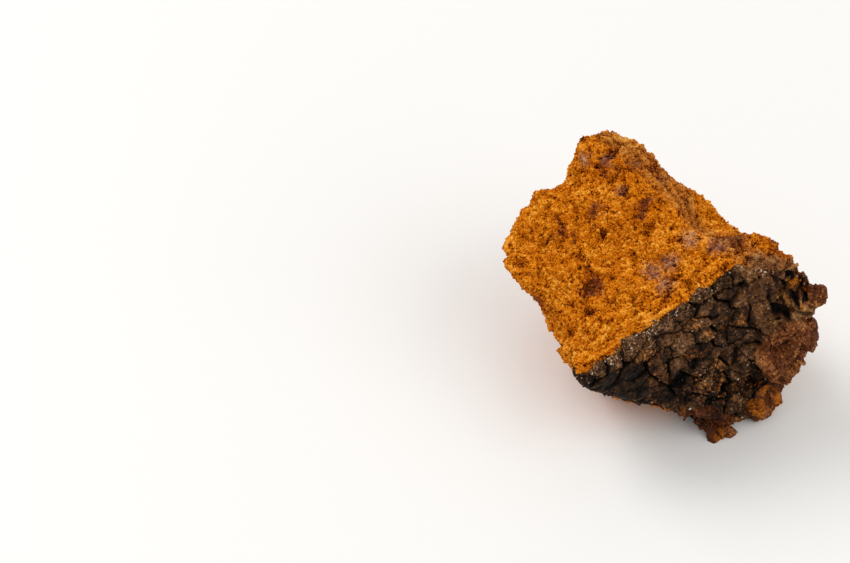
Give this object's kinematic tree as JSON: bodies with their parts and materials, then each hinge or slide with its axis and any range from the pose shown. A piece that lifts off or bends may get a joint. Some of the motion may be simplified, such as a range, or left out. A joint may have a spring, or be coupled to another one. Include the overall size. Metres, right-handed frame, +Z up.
{
  "type": "chaga mushroom chunk",
  "caption": "Broken chunk of dried chaga fungus: a corky orange broken face above a black crust cracked into blocky plates, resting on a flat break.",
  "frame": {"origin": "centre of the bounding box's bottom face, on the surface that the chunk rests on", "axes": "+Z up, +X along the chunk's length to the viewer's right, -Y towards the black crust"},
  "size_m": [0.0774, 0.0676, 0.0566],
  "materials": {
    "chaga": "matte corky flesh with a rough black crust"
  },
  "bodies": {
    "root": {"chaga_chunk": "chaga"}
  },
  "joints": []
}
